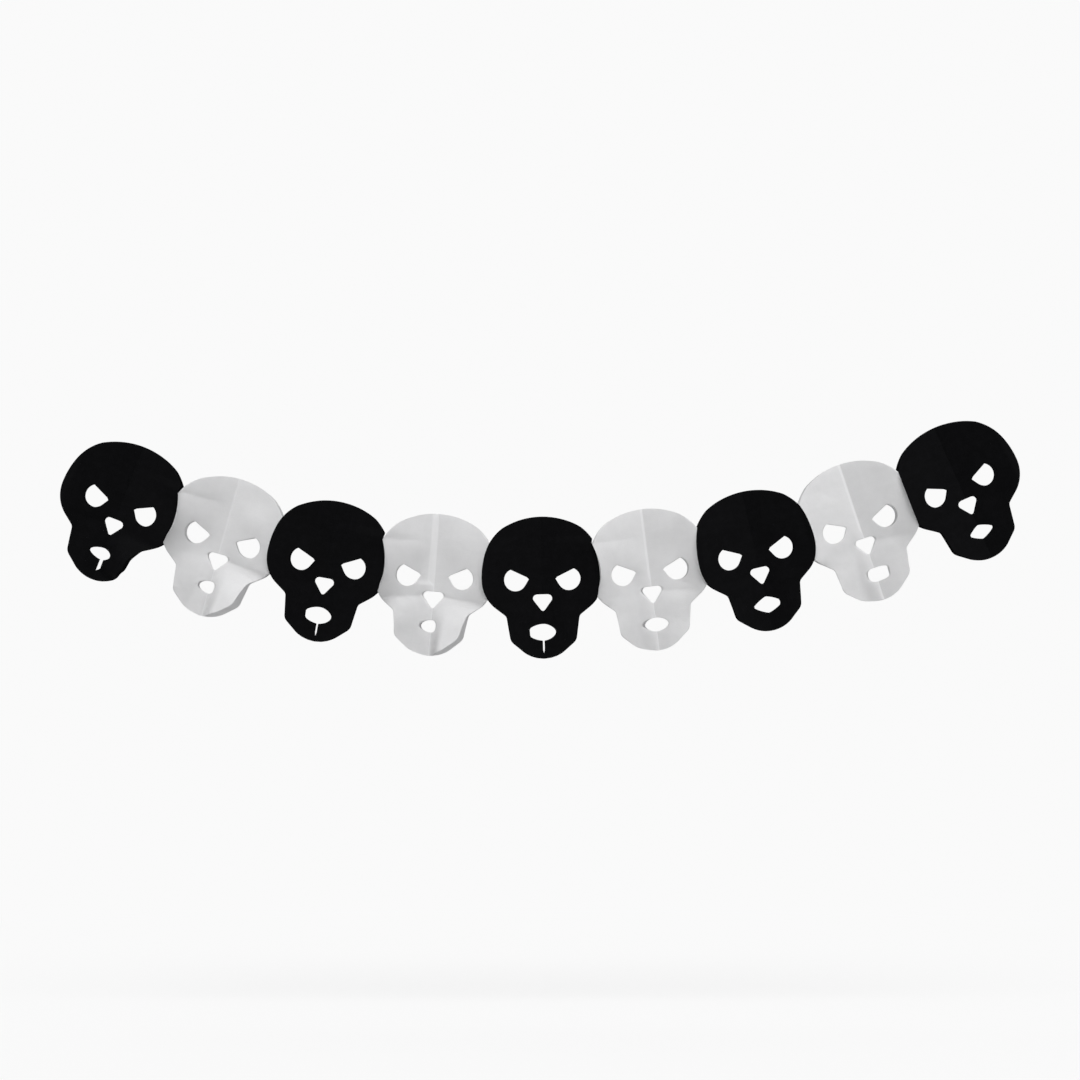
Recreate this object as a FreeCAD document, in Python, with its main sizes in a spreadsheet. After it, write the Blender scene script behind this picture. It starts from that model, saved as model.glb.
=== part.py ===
"""Pull-out garland of paper skulls, alternately black and white, hanging in a shallow curve.

Every skull is two die-cut tissue sheets. Each sheet carries the whole skull's outline and is folded
on its centreline, so that one half faces the viewer and the other half lies behind it. The two sheets
of a skull are glued back to back along the fold, and each outer edge is a flap that is glued to the
flap of the next skull's sheet, in front and behind. Pulled open, the sheets stand as a row of
lozenge-shaped cells.

Frame: X along the garland to the viewer's right, Y away from the viewer, Z up. The origin is on the
first skull's back outer flap, on the face that is taped to a wall. Every skull also has a frame of
its own, with the centreline at x = 0 and its eye level near z = 0, in which its sheets are worked
out. A quarter is the front half face to the right of the centreline, with its flap and half of the
glued strip: the other three quarters are its mirror images.
"""

import FreeCAD
import Part

import enum
import math
import os

import Sketcher
from FreeCAD import Placement, Rotation, Vector

doc = FreeCAD.newDocument("skull_garland")

# Driving dimensions, in millimetres and degrees
DIMENSIONS = (
    ("skull_count", 9, "skulls in the length that is built"),
    ("half_pitch", 52.2, "centreline to the fold of the outer flap, at eye level"),
    ("turn_per_skull", 5.67, "how much each skull is turned against the one before"),
    ("first_tilt", -21.3, "tilt of the first skull, anticlockwise positive"),
    ("panel_angle", 22, "angle of each half face to the garland's line, seen from above"),
    ("glue_width", 3, "depth of the glued strip on the centreline"),
    ("paper", 0.2, "thickness of a sheet"),
    ("over_lean", 68, "lean to the left of the glued flaps that lie over a white skull"),
    ("stand_lean", -12, "lean to the left of the glued flaps that stand out"),
    ("end_lean", 90, "outward lean of the free end flaps, 90 is parallel to the wall"),
    ("crown_up", 62.5, "top of the skull"),
    ("widest_out", 59, "half width of the skull"),
    ("widest_up", 3, "level of the greatest width"),
    ("chin_down", 75, "lowest point of the chin"),
    ("temple_inset", 21.3, "end of the crown's arc, inward of the greatest width"),
    ("temple_drop", 10.5, "end of the crown's arc, below the top"),
    ("temple_round", 51.3, "radius of the temple"),
    ("side_inset", 3.7, "end of the temple's arc, inward of the greatest width"),
    ("side_up", 27, "end of the temple's arc"),
    ("cheek_inset", 12.5, "end of the cheek's arc, inward of the greatest width"),
    ("cheek_down", 24.3, "end of the cheek's arc"),
    ("notch_inset", 23.9, "corner between cheek and jaw, inward of the greatest width"),
    ("notch_down", 33.3, "corner between cheek and jaw"),
    ("notch_round", 5, "radius in that corner"),
    ("jaw_inset", 27.4, "corner of the jaw, inward of the greatest width"),
    ("jaw_rise", 17.4, "corner of the jaw, above the lowest point"),
    ("jaw_round", 10, "radius of the jaw's corner"),
    ("chin_out", 19.5, "start of the chin's arc, from the centreline"),
    ("chin_rise", 6.7, "start of the chin's arc, above the lowest point"),
    ("eye_out", 26, "middle of the round part of the eye, from the centreline"),
    ("eye_up", 1.7, "middle of the round part of the eye"),
    ("eye_round", 11, "radius of the round part of the eye"),
    ("eye_corner_out", 12.4, "inner corner of the eye, from the centreline"),
    ("eye_corner_up", 3, "inner corner of the eye"),
    ("brow_slope", 26, "slope of the straight brow over the eye"),
    ("nose_out", 5.4, "middle of each upper corner of the nose, from the centreline"),
    ("nose_down", 16.5, "middle of the upper corners"),
    ("nose_round", 3.8, "radius of the upper corners"),
    ("nose_tip_down", 26.3, "middle of the lower tip of the nose"),
    ("nose_tip_round", 2.4, "radius of the lower tip"),
    ("mouth_half_width", 13.6, "half width of the mouth"),
    ("mouth_half_height", 9.2, "half height of the mouth"),
    ("mouth_down", 50.6, "middle of the mouth"),
    ("slit_width", 1.6, "gap between the unglued folds under the mouth"),
    ("slit_rise", 5, "lower end of that gap, above the lowest point"),
)
sheet = doc.addObject("Spreadsheet::Sheet", "Sizes")
for row, (alias, value, meaning) in enumerate(DIMENSIONS, start=1):
    sheet.set("A%d" % row, alias)
    sheet.set("B%d" % row, str(value))
    sheet.set("C%d" % row, meaning)
    sheet.setAlias("B%d" % row, alias)
doc.recompute()
dims = {alias: float(sheet.get(alias)) for alias, value, meaning in DIMENSIONS}

# Shared values
paper = dims["paper"]
panel_angle = math.radians(dims["panel_angle"])
seam_tilt = math.radians(dims["turn_per_skull"] / 2)
half_strip = dims["glue_width"] / 2
half_pitch = dims["half_pitch"]
SPARE = 10  # how far cutting solids reach past what they cut
THROUGH = "4 * (Sizes.half_pitch * tan(Sizes.panel_angle) + Sizes.glue_width + Sizes.widest_out)"

# Front view sketches: x is the skull's x and the sketch's y is up
ORIGIN = (-1, 1)
UPRIGHT_AXIS = -2
START, END, CENTRE = enum.IntEnum("PointOfCurve", "START END CENTRE")


def size_of(names):
    """A named size, or the first of several less the others, as a number and as an expression."""
    names = (names,) if isinstance(names, str) else names
    number = dims[names[0]] - sum(dims[name] for name in names[1:])
    return number, " - ".join("Sizes." + name for name in names)


class FrontSketch:
    """A sketch on the front view whose constraints are bound to the sheet."""

    def __init__(self, name):
        self.object = doc.addObject("Sketcher::SketchObject", name)
        self.object.Placement = Placement(Vector(0, 0, 0), Rotation(Vector(1, 0, 0), 90))

    def line(self, start, end):
        return self.object.addGeometry(Part.LineSegment(Vector(*start), Vector(*end)), False)

    def point(self, place):
        return self.object.addGeometry(Part.Point(Vector(*place)), True)

    def arc(self, centre, start, end):
        """An arc that runs anticlockwise about its centre."""
        first = math.atan2(start[1] - centre[1], start[0] - centre[0])
        last = math.atan2(end[1] - centre[1], end[0] - centre[0])
        radius = math.dist(centre, start)
        circle = Part.Circle(Vector(*centre), Vector(0, 0, 1), radius)
        return self.object.addGeometry(Part.ArcOfCircle(circle, first, last), False)

    def join(self, *pairs, kind="Coincident"):
        for one, other in pairs:
            self.object.addConstraint(Sketcher.Constraint(kind, *one, *other))

    def on(self, curve, *points):
        for point in points:
            self.object.addConstraint(Sketcher.Constraint("PointOnObject", *point, curve))

    def level(self, one, other):
        self.object.addConstraint(Sketcher.Constraint("Horizontal", *one, *other))

    def bind(self, constraint, expression):
        index = self.object.addConstraint(constraint)
        self.object.setExpression("Constraints[%d]" % index, expression)

    def measure(self, kind, geometry, alias):
        """A radius, or the slope of a line."""
        value = math.radians(dims[alias]) if kind == "Angle" else dims[alias]
        self.bind(Sketcher.Constraint(kind, geometry, value), "Sizes." + alias)

    def place(self, point, out=None, up=None, down=None):
        """Where a point lies from the skull's origin."""
        for kind, ends, names in (
            ("DistanceX", ORIGIN + point, out),
            ("DistanceY", ORIGIN + point, up),
            ("DistanceY", point + ORIGIN, down),
        ):
            if names:
                number, expression = size_of(names)
                self.bind(Sketcher.Constraint(kind, *ends, number), expression)


def centre_of(start, end, radius):
    """Centre of the arc that runs anticlockwise from start to end and is less than half a turn."""
    chord = Vector(end[0] - start[0], end[1] - start[1], 0)
    rise = math.sqrt(radius**2 - (chord.Length / 2) ** 2)
    across = Vector(-chord.y, chord.x, 0).normalize() * rise
    return (start[0] + end[0]) / 2 + across.x, (start[1] + end[1]) / 2 + across.y


def rounded_corner(before, corner, after, radius):
    """Ends and centre of the arc that rounds a corner between two lines."""
    back = Vector(before[0] - corner[0], before[1] - corner[1], 0).normalize()
    ahead = Vector(after[0] - corner[0], after[1] - corner[1], 0).normalize()
    half_angle = back.getAngle(ahead) / 2
    cut = radius / math.tan(half_angle)
    middle = (back + ahead).normalize() * (radius / math.sin(half_angle))
    here = Vector(corner[0], corner[1], 0)
    return [(v.x, v.y) for v in (here + back * cut, here + ahead * cut, here + middle)]


# Where the ends and corners of the outline lie: each place is a size, or a size less another
OUTLINE_POINTS = {
    "crown": {"up": "crown_up"},
    "temple": {"out": ("widest_out", "temple_inset"), "up": ("crown_up", "temple_drop")},
    "side": {"out": ("widest_out", "side_inset"), "up": "side_up"},
    "widest": {"out": "widest_out", "up": "widest_up"},
    "cheek": {"out": ("widest_out", "cheek_inset"), "down": "cheek_down"},
    "notch": {"out": ("widest_out", "notch_inset"), "down": "notch_down"},
    "jaw": {"out": ("widest_out", "jaw_inset"), "down": ("chin_down", "jaw_rise")},
    "chin_side": {"out": "chin_out", "down": ("chin_down", "chin_rise")},
    "chin": {"down": "chin_down"},
}


def outline_point(name):
    """A point of the outline as x and height."""
    places = {way: size_of(names)[0] for way, names in OUTLINE_POINTS[name].items()}
    return places.get("out", 0), places.get("up", 0) - places.get("down", 0)


def half_face_outline():
    """The right half of the skull's outline, closed by the centreline."""
    crown, temple, side, widest, cheek, notch, jaw, chin_side, chin = map(outline_point, OUTLINE_POINTS)

    def on_axis(end, top):
        """Centre on the centreline of an arc through end and through top, which is on that line."""
        return 0, (end[0] ** 2 + end[1] ** 2 - top[1] ** 2) / (2 * (end[1] - top[1]))

    def level_with_widest(end):
        """Centre, level with the widest point, of an arc through it and through end."""
        out, up = widest[0] - end[0], widest[1] - end[1]
        return widest[0] - (out**2 + up**2) / (2 * out), widest[1]

    notch_start, notch_end, notch_centre = rounded_corner(cheek, notch, jaw, dims["notch_round"])
    jaw_start, jaw_end, jaw_centre = rounded_corner(notch, jaw, chin_side, dims["jaw_round"])

    sketch = FrontSketch("half_face_outline")
    centreline = sketch.line(chin, crown)
    crown_arc = sketch.arc(on_axis(temple, crown), temple, crown)
    temple_arc = sketch.arc(centre_of(side, temple, dims["temple_round"]), side, temple)
    side_arc = sketch.arc(level_with_widest(side), widest, side)
    cheek_arc = sketch.arc(level_with_widest(cheek), cheek, widest)
    cheek_line = sketch.line(cheek, notch_start)
    notch_arc = sketch.arc(notch_centre, notch_start, notch_end)
    jaw_line = sketch.line(notch_end, jaw_start)
    jaw_arc = sketch.arc(jaw_centre, jaw_end, jaw_start)
    chin_line = sketch.line(jaw_end, chin_side)
    chin_arc = sketch.arc(on_axis(chin_side, chin), chin, chin_side)
    notch_corner = sketch.point(notch)
    jaw_corner = sketch.point(jaw)

    sketch.join(
        ((centreline, END), (crown_arc, END)),
        ((crown_arc, START), (temple_arc, END)),
        ((temple_arc, START), (side_arc, END)),
        ((side_arc, START), (cheek_arc, END)),
        ((cheek_arc, START), (cheek_line, START)),
        ((chin_line, END), (chin_arc, END)),
        ((chin_arc, START), (centreline, START)),
    )
    sketch.join(
        ((cheek_line, END), (notch_arc, START)),
        ((notch_arc, END), (jaw_line, START)),
        ((jaw_line, END), (jaw_arc, END)),
        ((jaw_arc, START), (chin_line, START)),
        kind="Tangent",
    )
    sketch.on(UPRIGHT_AXIS, (centreline, START), (centreline, END), (crown_arc, CENTRE), (chin_arc, CENTRE))
    sketch.level((side_arc, CENTRE), (side_arc, START))
    sketch.level((cheek_arc, CENTRE), (cheek_arc, END))
    sketch.on(cheek_line, (notch_corner, START))
    sketch.on(jaw_line, (notch_corner, START), (jaw_corner, START))
    sketch.on(chin_line, (jaw_corner, START))
    ends = {
        "crown": (centreline, END),
        "temple": (temple_arc, END),
        "side": (side_arc, END),
        "widest": (cheek_arc, END),
        "cheek": (cheek_line, START),
        "notch": (notch_corner, START),
        "jaw": (jaw_corner, START),
        "chin_side": (chin_line, END),
        "chin": (centreline, START),
    }
    for name, point in ends.items():
        sketch.place(point, **OUTLINE_POINTS[name])
    sketch.measure("Radius", temple_arc, "temple_round")
    sketch.measure("Radius", notch_arc, "notch_round")
    sketch.measure("Radius", jaw_arc, "jaw_round")
    return sketch.object


def eye_outline():
    """A round eye that runs to a point beside the nose, under a straight slanting brow."""
    middle = Vector(dims["eye_out"], dims["eye_up"], 0)
    corner = Vector(dims["eye_corner_out"], dims["eye_corner_up"], 0)
    radius = dims["eye_round"]
    slope = math.radians(dims["brow_slope"])
    brow = Vector(math.cos(slope), math.sin(slope), 0)
    reach = (middle - corner).dot(brow)
    off_brow = (middle - corner - brow * reach).Length
    brow_end = corner + brow * (reach + math.sqrt(radius**2 - off_brow**2))
    to_corner = corner - middle
    bearing = math.atan2(to_corner.y, to_corner.x) + math.acos(radius / to_corner.Length)
    touch = middle + Vector(math.cos(bearing), math.sin(bearing), 0) * radius

    sketch = FrontSketch("eye_outline")
    round_part = sketch.arc((middle.x, middle.y), (touch.x, touch.y), (brow_end.x, brow_end.y))
    under = sketch.line((touch.x, touch.y), (corner.x, corner.y))
    over = sketch.line((corner.x, corner.y), (brow_end.x, brow_end.y))
    sketch.join(((under, END), (over, START)), ((over, END), (round_part, END)))
    sketch.join(((round_part, START), (under, START)), kind="Tangent")
    sketch.place((round_part, CENTRE), out="eye_out", up="eye_up")
    sketch.place((over, START), out="eye_corner_out", up="eye_corner_up")
    sketch.measure("Radius", round_part, "eye_round")
    sketch.measure("Angle", over, "brow_slope")
    return sketch.object


def nose_outline():
    """A triangle on its tip with rounded corners."""
    out, up = dims["nose_out"], -dims["nose_down"]
    tip_up = -dims["nose_tip_down"]
    corner_radius, tip_radius = dims["nose_round"], dims["nose_tip_round"]
    length = math.hypot(out, up - tip_up)
    bearing = math.atan2(up - tip_up, out) - math.acos((tip_radius - corner_radius) / length)
    side = (math.cos(bearing), math.sin(bearing))
    corner_touch = (out + side[0] * corner_radius, up + side[1] * corner_radius)
    tip_touch = (side[0] * tip_radius, tip_up + side[1] * tip_radius)
    top = up + corner_radius

    def mirrored(place):
        return -place[0], place[1]

    sketch = FrontSketch("nose_outline")
    right = sketch.arc((out, up), corner_touch, (out, top))
    left = sketch.arc((-out, up), (-out, top), mirrored(corner_touch))
    tip = sketch.arc((0, tip_up), mirrored(tip_touch), tip_touch)
    top_line = sketch.line((-out, top), (out, top))
    right_line = sketch.line(corner_touch, tip_touch)
    left_line = sketch.line(mirrored(tip_touch), mirrored(corner_touch))
    sketch.join(
        ((top_line, END), (right, END)),
        ((right, START), (right_line, START)),
        ((right_line, END), (tip, END)),
        ((tip, START), (left_line, START)),
        ((left_line, END), (left, END)),
        ((left, START), (top_line, START)),
        kind="Tangent",
    )
    sketch.place((right, CENTRE), out="nose_out", down="nose_down")
    sketch.object.addConstraint(
        Sketcher.Constraint("Symmetric", right, CENTRE, left, CENTRE, UPRIGHT_AXIS)
    )
    sketch.on(UPRIGHT_AXIS, (tip, CENTRE))
    sketch.place((tip, CENTRE), down="nose_tip_down")
    sketch.measure("Radius", right, "nose_round")
    sketch.measure("Radius", left, "nose_round")
    sketch.measure("Radius", tip, "nose_tip_round")
    return sketch.object


def through_cut(name, outline):
    """The front view outline carried through the garland's whole depth."""
    prism = doc.addObject("Part::Extrusion", name)
    prism.Base = outline
    prism.DirMode = "Custom"
    prism.Dir = Vector(0, 1, 0)
    prism.Solid = True
    prism.Symmetric = True
    prism.setExpression("LengthFwd", THROUGH)
    return prism


def mouth_outline():
    mouth = doc.addObject("Part::Ellipse", "mouth_outline")
    mouth.setExpression("MajorRadius", "Sizes.mouth_half_width")
    mouth.setExpression("MinorRadius", "Sizes.mouth_half_height")
    mouth.Placement = Placement(Vector(0, 0, -dims["mouth_down"]), Rotation(Vector(1, 0, 0), 90))
    mouth.setExpression("Placement.Base.z", "-Sizes.mouth_down")
    return mouth


def slit_under_mouth():
    """The gap where the two sheets' folds stand apart, from the mouth nearly to the chin."""
    slit = doc.addObject("Part::Box", "slit_under_mouth")
    slit.setExpression("Length", "Sizes.slit_width")
    slit.setExpression("Width", THROUGH)
    slit.setExpression("Height", "Sizes.chin_down - Sizes.slit_rise - Sizes.mouth_down")
    slit.setExpression("Placement.Base.x", "-Sizes.slit_width / 2")
    slit.setExpression("Placement.Base.y", "-" + THROUGH + " / 2")
    slit.setExpression("Placement.Base.z", "Sizes.slit_rise - Sizes.chin_down")
    return slit


outline = half_face_outline()
holes = doc.addObject("Part::MultiFuse", "face_holes")
holes.Shapes = [
    through_cut("eye", eye_outline()),
    through_cut("nose", nose_outline()),
    through_cut("mouth", mouth_outline()),
    slit_under_mouth(),
]
half_face = doc.addObject("Part::Cut", "half_face")
half_face.Base = through_cut("half_face_blank", outline)
half_face.Tool = holes

flap_blank = doc.addObject("Part::Extrusion", "flap_blank")
flap_blank.Base = outline
flap_blank.DirMode = "Custom"
flap_blank.Dir = Vector(0, -1, 0)
flap_blank.Solid = True
flap_blank.setExpression("LengthFwd", "Sizes.paper")


# Folding
UP = Vector(0, 0, 1)
TO_VIEWER = Vector(0, -1, 0)
PANEL = Vector(math.cos(panel_angle), -math.sin(panel_angle), 0)
PANEL_FACE = Vector(-math.sin(panel_angle), -math.cos(panel_angle), 0)
FOLD = Vector(
    half_pitch, paper / math.cos(panel_angle) - half_strip - half_pitch * math.tan(panel_angle), 0
)
FOLD_FRONT_VIEW = Vector(half_pitch, 0, 0)
ACROSS_FRONT_VIEW = Vector(math.cos(seam_tilt), 0, math.sin(seam_tilt))
ALONG_FRONT_VIEW = Vector(-math.sin(seam_tilt), 0, math.cos(seam_tilt))


def flap_directions(lean):
    """Along the outer fold, across the flap away from the fold, and from its glued face into it."""
    along = Vector(-math.tan(seam_tilt), math.tan(seam_tilt) * math.tan(panel_angle), 1)
    along.normalize()
    across = ACROSS_FRONT_VIEW * -math.sin(lean) + TO_VIEWER * math.cos(lean)
    into = across.cross(along).normalize()
    return along, along.cross(into), into


def flap_angle(lean):
    """The paper's inside angle at the outer fold, in radians."""
    return math.pi / 2 + panel_angle - lean


def flap_placement(lean):
    """Turns a flap from the front view, where it lies flat, to where it is folded."""
    along, across, into = flap_directions(lean)
    flat = Rotation(ACROSS_FRONT_VIEW, ALONG_FRONT_VIEW, TO_VIEWER, "XYZ")
    folded = Rotation(across, along, into, "XYZ").multiply(flat.inverted())
    return Placement(FOLD - folded.multVec(FOLD_FRONT_VIEW), folded)


def folded_strip(name, lean):
    """Half of the centre strip and the half face's plane, folded and taller than the skull."""
    along, across, into = flap_directions(lean)
    angle = flap_angle(lean)
    if angle < math.pi / 2:
        outer_end = FOLD + across * (paper / across.dot(PANEL_FACE))
    else:
        outer_end = FOLD + PANEL_FACE * paper
    crease = Vector(0, -half_strip, 0)
    inner_crease = crease - PANEL_FACE * paper
    inner_crease = inner_crease + PANEL * ((paper - inner_crease.x) / PANEL.x)
    edges = (
        (Vector(0, 0, 0), UP),
        (crease, UP),
        (outer_end, along),
        (FOLD, along),
        (inner_crease, UP),
        (Vector(paper, 0, 0), UP),
    )

    def ring(height):
        return [point + way * ((height - point.z) / way.z) for point, way in edges]

    low = ring(-dims["chin_down"] - SPARE)
    high = ring(dims["crown_up"] + SPARE)
    following = range(1, len(edges) + 1)
    walls = [
        (low[i], low[j % len(edges)], high[j % len(edges)], high[i]) for i, j in enumerate(following)
    ]
    faces = [Part.Face(Part.makePolygon(list(ring_) + [ring_[0]])) for ring_ in [low, high] + walls]
    strip = doc.addObject("Part::Feature", name)
    solid = Part.Solid(Part.Shell(faces))
    strip.Shape = solid if solid.Volume > 0 else solid.reversed()
    return strip


def flap_root(lean):
    """How far from the outer fold the flap starts, so that it ends inside the half face's paper."""
    angle = flap_angle(lean)
    if angle < math.pi / 2:
        return paper / (2 * math.tan(angle / 2))
    if angle > math.pi:
        return -paper * math.tan(angle - math.pi)
    return 0.0


def flap(name, lean):
    """The part of the outline past the outer fold, as thick as the paper and folded to its lean."""
    block = doc.addObject("Part::Box", name + "_block")
    block.setExpression("Length", "Sizes.widest_out")
    block.setExpression("Width", "Sizes.paper + 2 * %d" % SPARE)
    block.setExpression("Height", "Sizes.crown_up + Sizes.chin_down + 2 * %d" % SPARE)
    corner = FOLD_FRONT_VIEW + ACROSS_FRONT_VIEW * flap_root(lean)
    corner = corner - ALONG_FRONT_VIEW * (dims["chin_down"] + SPARE) + TO_VIEWER * (paper + SPARE)
    block.Placement = Placement(
        corner, Rotation(ACROSS_FRONT_VIEW, Vector(0, 1, 0), ALONG_FRONT_VIEW, "XYZ")
    )
    piece = doc.addObject("Part::Common", name)
    piece.Base = flap_blank
    piece.Tool = block
    piece.Placement = flap_placement(lean)
    return piece


def mirror_image(name, source, normal):
    image = doc.addObject("Part::Mirroring", name)
    image.Source = source
    image.Base = Vector(0, 0, 0)
    image.Normal = normal
    return image


def quarters(name, side, lean):
    """The front and back quarters of one kind of sheet, to the right (1) or left (-1)."""
    half = doc.addObject("Part::Common", name + "_half_face")
    half.Base = folded_strip(name + "_strip", lean)
    half.Tool = half_face
    front = doc.addObject("Part::MultiFuse", name + "_front_right")
    front.Shapes = [half, flap(name + "_flap", lean)]
    if side < 0:
        front = mirror_image(name + "_front_left", front, Vector(1, 0, 0))
    return front, mirror_image(name + "_back", front, Vector(0, 1, 0))


over, stand, end = (math.radians(dims[alias]) for alias in ("over_lean", "stand_lean", "end_lean"))
RIGHT, LEFT = 1, -1
KINDS = {
    "black_left": quarters("black_left", LEFT, -over),
    "black_right": quarters("black_right", RIGHT, stand),
    "white_left": quarters("white_left", LEFT, -stand),
    "white_right": quarters("white_right", RIGHT, over),
    "first_left": quarters("first_left", LEFT, -end),
    "last_right": quarters("last_right", RIGHT, -end),
}


# The hanging curve
def first_skull_place():
    """Where the first skull's frame lies when its back outer flap's outer face is at the origin."""
    middle_of_flap = (dims["widest_out"] - half_pitch) / 2
    on_blank = FOLD_FRONT_VIEW + ACROSS_FRONT_VIEW * middle_of_flap + TO_VIEWER * paper
    on_blank = on_blank + ALONG_FRONT_VIEW * dims["widest_up"]
    on_flap = flap_placement(-end).multVec(on_blank)
    to_face = Vector(-on_flap.x, -on_flap.y, on_flap.z)
    turned = Rotation(Vector(0, -1, 0), dims["first_tilt"]).multVec(to_face)
    return turned * -1


def hanging_places():
    """A placement for each skull: neighbours meet at their fold lines, each turned a little more."""
    place = first_skull_place()
    tilt = dims["first_tilt"]
    places = []
    for number in range(int(dims["skull_count"])):
        turn = Rotation(Vector(0, -1, 0), tilt)
        half_step = turn.multVec(FOLD_FRONT_VIEW)
        if number:
            place = place + half_step
        places.append(Placement(place, turn))
        place = place + half_step
        tilt += dims["turn_per_skull"]
    return places


nodes = []
places = hanging_places()
for number, place in enumerate(places, start=1):
    colour = "black" if number % 2 else "white"
    for side in ("left", "right"):
        kind = "%s_%s" % (colour, side)
        if number == 1 and side == "left":
            kind = "first_left"
        if number == len(places) and side == "right":
            kind = "last_right"
        node = doc.addObject("Part::MultiFuse", "skull_%d_%s_sheet" % (number, side))
        node.Shapes = list(KINDS[kind])
        node.Refine = True
        node.Placement = place
        node.Label = "skull_%d_%s_%s_sheet" % (number, colour, side)
        nodes.append(node)

doc.recompute()

# Checks before anything is written
for thing in doc.Objects:
    if "Invalid" in thing.State or "Error" in thing.State:
        raise RuntimeError("%s failed: %s" % (thing.Name, thing.State))
for node in nodes:
    if node.Shape.isNull() or not node.Shape.isValid() or len(node.Shape.Solids) != 1:
        raise RuntimeError("%s is not one valid solid" % node.Label)

os.makedirs("parts", exist_ok=True)
for node in nodes:
    node.Shape.exportStep("parts/%s.step" % node.Label)
print("%d sheets, %.0f mm2 of paper" % (len(nodes), sum(n.Shape.Volume for n in nodes) / paper))
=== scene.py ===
"""Paper skull garland: nine die-cut tissue skulls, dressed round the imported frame, on a pale stage.

Every skull is two sheets. A sheet is folded on the skull's centreline, so that it has a front half,
which the viewer sees, and a back half behind it, and each half ends in a flap that is glued to the
neighbour's. Each half is worked out in the skull's own flat front view (x from the centreline
outwards, z up) and then folded: centre strip, half face, flap.
"""

import math

import bmesh
import bpy
import numpy as np
from bpy.props import FloatProperty, FloatVectorProperty, PointerProperty
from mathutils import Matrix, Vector


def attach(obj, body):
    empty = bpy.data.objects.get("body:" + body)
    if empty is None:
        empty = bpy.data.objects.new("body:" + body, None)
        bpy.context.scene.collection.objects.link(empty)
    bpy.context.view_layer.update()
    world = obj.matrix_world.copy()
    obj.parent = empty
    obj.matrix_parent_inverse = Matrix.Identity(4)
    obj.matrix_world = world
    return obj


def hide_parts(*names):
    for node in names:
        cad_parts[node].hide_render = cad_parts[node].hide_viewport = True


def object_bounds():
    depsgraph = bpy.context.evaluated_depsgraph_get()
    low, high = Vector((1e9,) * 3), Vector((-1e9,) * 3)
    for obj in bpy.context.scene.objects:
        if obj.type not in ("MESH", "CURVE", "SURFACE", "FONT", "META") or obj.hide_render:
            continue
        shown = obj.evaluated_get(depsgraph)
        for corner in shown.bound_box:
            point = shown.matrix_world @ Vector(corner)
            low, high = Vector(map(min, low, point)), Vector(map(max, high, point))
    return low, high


bl_info = {
    "name": "Paper Skull Garland",
    "version": (1, 0, 0),
    "blender": (4, 5, 0),
    "location": "3D View > Sidebar > Garland",
    "description": "Folded tissue skulls in a hanging row, with a pale stage",
    "category": "Object",
}

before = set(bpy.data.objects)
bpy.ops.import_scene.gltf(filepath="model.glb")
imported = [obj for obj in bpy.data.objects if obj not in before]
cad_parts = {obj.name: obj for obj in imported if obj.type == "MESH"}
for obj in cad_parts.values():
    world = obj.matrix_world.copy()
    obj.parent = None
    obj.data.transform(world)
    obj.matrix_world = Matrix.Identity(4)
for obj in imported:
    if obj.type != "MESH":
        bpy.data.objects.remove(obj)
CAD_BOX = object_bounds()
SKULLS = len(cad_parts) // 2
MM = 0.001
WHITE = (1.0, 1.0, 1.0, 1.0)


# Sizes that a user would change

def length(name, description, millimetres):
    return FloatProperty(
        name=name, description=description, default=millimetres * MM, unit="LENGTH", precision=5
    )


def angle(name, description, degrees):
    return FloatProperty(
        name=name, description=description, default=math.radians(degrees), subtype="ANGLE"
    )


def amount(name, description, default):
    return FloatProperty(name=name, description=description, default=default, min=0.0)


def colour(name, description, default):
    return FloatVectorProperty(
        name=name, description=description, default=default, subtype="COLOR", min=0.0, max=1.0
    )


class GARLAND_PG_outline(bpy.types.PropertyGroup):
    """The skull's flat outline, measured from its own centreline and eye level."""

    crown_up: length("Crown", "Top of the skull", 62.5)
    temple_out: length("Temple out", "End of the crown's arc", 37.7)
    temple_up: length("Temple up", "End of the crown's arc", 52)
    temple_round: length("Temple radius", "Radius of the temple", 51.3)
    side_out: length("Side out", "End of the temple's arc", 55.3)
    side_up: length("Side up", "End of the temple's arc", 27)
    widest_out: length("Widest out", "Half width of the skull", 59)
    widest_up: length("Widest up", "Level of the greatest width", 3)
    cheek_out: length("Cheek out", "End of the cheek's arc", 46.5)
    cheek_down: length("Cheek down", "End of the cheek's arc", 24.3)
    notch_out: length("Notch out", "Corner between cheek and jaw", 35.1)
    notch_down: length("Notch down", "Corner between cheek and jaw", 33.3)
    notch_round: length("Notch radius", "Radius in that corner", 5)
    jaw_out: length("Jaw out", "Corner of the jaw", 31.6)
    jaw_down: length("Jaw down", "Corner of the jaw", 57.6)
    jaw_round: length("Jaw radius", "Radius of the jaw's corner", 10)
    chin_out: length("Chin out", "Start of the chin's arc", 19.5)
    chin_side_down: length("Chin side", "Start of the chin's arc", 68.3)
    chin_down: length("Chin", "Lowest point of the chin", 75)


class GARLAND_PG_face(bpy.types.PropertyGroup):
    """The holes of the face."""

    eye_out: length("Eye out", "Middle of the round part of the eye", 26)
    eye_up: length("Eye up", "Middle of the round part of the eye", 1.7)
    eye_round: length("Eye radius", "Radius of the round part of the eye", 11)
    eye_corner_out: length("Eye corner out", "Inner corner of the eye", 12.4)
    eye_corner_up: length("Eye corner up", "Inner corner of the eye", 3)
    brow_slope: angle("Brow", "Slope of the straight brow", 26)
    nose_out: length("Nose out", "Middle of each upper corner of the nose", 5.4)
    nose_down: length("Nose down", "Middle of the upper corners", 16.5)
    nose_round: length("Nose radius", "Radius of the upper corners", 3.8)
    nose_tip_down: length("Nose tip", "Middle of the tip of the nose", 26.3)
    nose_tip_round: length("Nose tip radius", "Radius of the tip of the nose", 2.4)


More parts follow.
